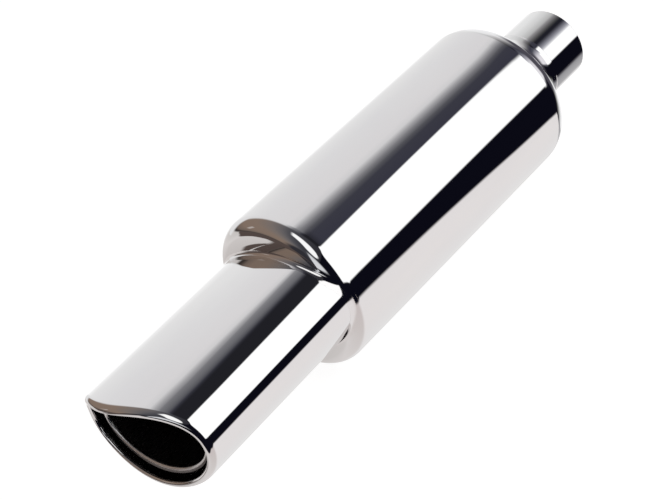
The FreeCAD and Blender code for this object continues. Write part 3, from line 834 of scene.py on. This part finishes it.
def build_world():
    """A studio of pale walls, a long white panel towards +Y and the dark card under it."""
    world = bpy.data.worlds.new("studio")
    world.use_nodes = True
    tree = world.node_tree
    tree.nodes.clear()
    where = add_node(tree, "ShaderNodeTexCoord")
    axes = add_node(tree, "ShaderNodeSeparateXYZ")
    tree.links.new(where.outputs["Generated"], axes.inputs["Vector"])
    around = math_node(tree, "DEGREES", math_node(tree, "ARCTAN2", axes.outputs["Z"], axes.outputs["Y"]))
    lean = math_node(tree, "DEGREES", math_node(tree, "ARCSINE", axes.outputs["X"]))

    # The room above the panel: pale behind, with a nearly black corner and a grey fold over it
    top_angle = math_node(tree, "SUBTRACT", around, curve_of(tree, lean, TOP_SHIFT))
    top = tone_ramp(tree, top_angle, SIDE_TOP_TONES)
    deep = product(tree, soft_step(tree, lean, *DEEP_START_LEAN), soft_below(tree, around, *DEEP_END))
    top = mix_tones(tree, deep, top, DEEP)
    fold = product(tree, soft_step(tree, lean, *DEEP_START_LEAN), soft_step(tree, around, *FOLD_START),
                   soft_below(tree, around, *FOLD_END))
    top = mix_tones(tree, math_node(tree, "MULTIPLY", fold, FOLD_STRENGTH), top, DUSK)

    # Its front part: brown, and dark at the far end
    brown = soft_step(tree, lean, curve_of(tree, around, BROWN_START), BROWN_BLUR)
    top = mix_tones(tree, brown, top, tone_ramp(tree, around, FRONT_TOP_TONES))
    far_dark = product(tree, soft_step(tree, lean, *FAR_DARK_START_LEAN),
                       soft_step(tree, around, *FAR_DARK_START))
    top = mix_tones(tree, far_dark, top, SMOKE)

    # The floor side, the dark card over it, and the side above the panel
    low = tone_ramp(tree, around, SIDE_LOW_TONES)
    front_tones = tone_ramp(tree, around, FRONT_LOW_TONES)
    low = mix_tones(tree, soft_step(tree, lean, *FRONT_LOW_START_LEAN), low, front_tones)
    card = soft_step(tree, around, curve_of(tree, lean, FLOOR_EDGE), FLOOR_BLUR)
    room = mix_tones(tree, card, low, BLACK)
    panel_high = curve_of(tree, lean, PANEL_HIGH)
    panel_blur = curve_of(tree, lean, PANEL_BLUR)
    room = mix_tones(tree, soft_step(tree, around, panel_high, panel_blur), room, top)

    # The long panel, the window beyond its end, and the haze farther off
    panel = product(tree, soft_step(tree, around, curve_of(tree, lean, PANEL_LOW), PANEL_LOW_BLUR),
                    soft_below(tree, around, panel_high, panel_blur),
                    soft_below(tree, lean, curve_of(tree, around, PANEL_END), PANEL_END_BLUR))
    room = mix_tones(tree, panel, room, WHITE)
    patch = product(tree, soft_step(tree, around, *PATCH_START), soft_below(tree, around, *PATCH_END),
                    soft_step(tree, lean, curve_of(tree, around, PATCH_LOW), PATCH_BLUR),
                    soft_below(tree, lean, curve_of(tree, around, PATCH_HIGH), PATCH_BLUR))
    room = mix_tones(tree, patch, room, BRIGHT)
    haze = product(tree, soft_step(tree, lean, *HAZE_START_LEAN), soft_step(tree, around, *HAZE_START),
                   soft_below(tree, around, *HAZE_END))
    room = mix_tones(tree, haze, room, HAZE)

    # A small glint in the brown, and a dark strip low on the far side
    glint = product(tree, soft_step(tree, around, *GLINT_START), soft_below(tree, around, *GLINT_END),
                    soft_step(tree, lean, *GLINT_START_LEAN), soft_below(tree, lean, *GLINT_END_LEAN))
    room = mix_tones(tree, glint, room, GLINT)
    not_shade = product(tree, soft_step(tree, around, *SHADE_END_ANGLE),
                        soft_below(tree, around, *SHADE_START_ANGLE))
    shade = product(tree, soft_step(tree, lean, curve_of(tree, around, SHADE_START), SHADE_BLUR),
                    math_node(tree, "SUBTRACT", 1.0, not_shade))
    room = mix_tones(tree, shade, room, SHADE)

    # What the inlet pipe shows, and behind it what the neck of the rear cap shows
    inlet = soft_below(tree, lean, curve_of(tree, around, INLET_END), INLET_BLUR)
    room = mix_tones(tree, inlet, room, tone_ramp(tree, around, INLET_TONES))
    rear = tone_ramp(tree, around, REAR_TONES)
    rear = mix_tones(tree, soft_below(tree, lean, *GLOOM_END_LEAN), rear, REAR_GLOOM)
    room = mix_tones(tree, soft_below(tree, lean, *REAR_END_LEAN), room, rear)

    seen = add_node(tree, "ShaderNodeLightPath")
    backdrop = mix_tones(tree, seen.outputs["Is Camera Ray"], room, BACKDROP)
    background = add_node(tree, "ShaderNodeBackground")
    output = add_node(tree, "ShaderNodeOutputWorld")
    tree.links.new(backdrop, background.inputs["Color"])
    tree.links.new(background.outputs["Background"], output.inputs["Surface"])
    bpy.context.scene.world = world


def build_floor():
    """A pale floor under the canister, white to the camera but for the muffler's soft shadow."""
    half = FLOOR_SIZE / 2
    level = -body_radius
    mesh = bpy.data.meshes.new("floor")
    corners = [(-half, -half, level), (half, -half, level), (half, half, level), (-half, half, level)]
    mesh.from_pydata(corners, [], [(0, 1, 2, 3)])
    floor = bpy.data.objects.new("floor", mesh)
    bpy.context.scene.collection.objects.link(floor)
    floor.visible_glossy = False
    material = bpy.data.materials.new("floor_paper")
    material.use_nodes = True
    tree = material.node_tree
    tree.nodes.clear()
    paper = add_node(tree, "ShaderNodeBsdfDiffuse", Color=(FLOOR_TONE, FLOOR_TONE, FLOOR_TONE, 1))
    seen = add_node(tree, "ShaderNodeLightPath")
    glow = add_node(tree, "ShaderNodeEmission")
    glow_strength = math_node(tree, "MULTIPLY", seen.outputs["Is Camera Ray"], FLOOR_GLOW)
    tree.links.new(glow_strength, glow.inputs["Strength"])
    both = add_node(tree, "ShaderNodeAddShader")
    output = add_node(tree, "ShaderNodeOutputMaterial")
    tree.links.new(paper.outputs["BSDF"], both.inputs[0])
    tree.links.new(glow.outputs["Emission"], both.inputs[1])
    tree.links.new(both.outputs["Shader"], output.inputs["Surface"])
    mesh.materials.append(material)


# The camera, as it stood for the photograph
CAMERA_AT = Vector((0.89892, 0.79655, 0.49917))
CAMERA_TARGET = Vector((0.29435, 0.0, 0.00132))
CAMERA_ROLL = math.radians(25.10)
LENS = 83.56


def build_camera():
    """The camera, leaning to one side as in the photograph."""
    camera = bpy.data.cameras.new("camera")
    camera.lens = LENS
    holder = bpy.data.objects.new("camera", camera)
    bpy.context.scene.collection.objects.link(holder)
    look = (CAMERA_TARGET - CAMERA_AT).normalized()
    level = look.cross(Vector((0, 0, 1))).normalized()
    upright = level.cross(look)
    right = level * math.cos(CAMERA_ROLL) - upright * math.sin(CAMERA_ROLL)
    above = upright * math.cos(CAMERA_ROLL) + level * math.sin(CAMERA_ROLL)
    turn = Matrix((right, above, -look)).transposed().to_4x4()
    holder.matrix_world = Matrix.Translation(CAMERA_AT) @ turn
    bpy.context.scene.camera = holder


build_world()
build_floor()
build_camera()
bpy.context.scene.view_settings.view_transform = "Standard"
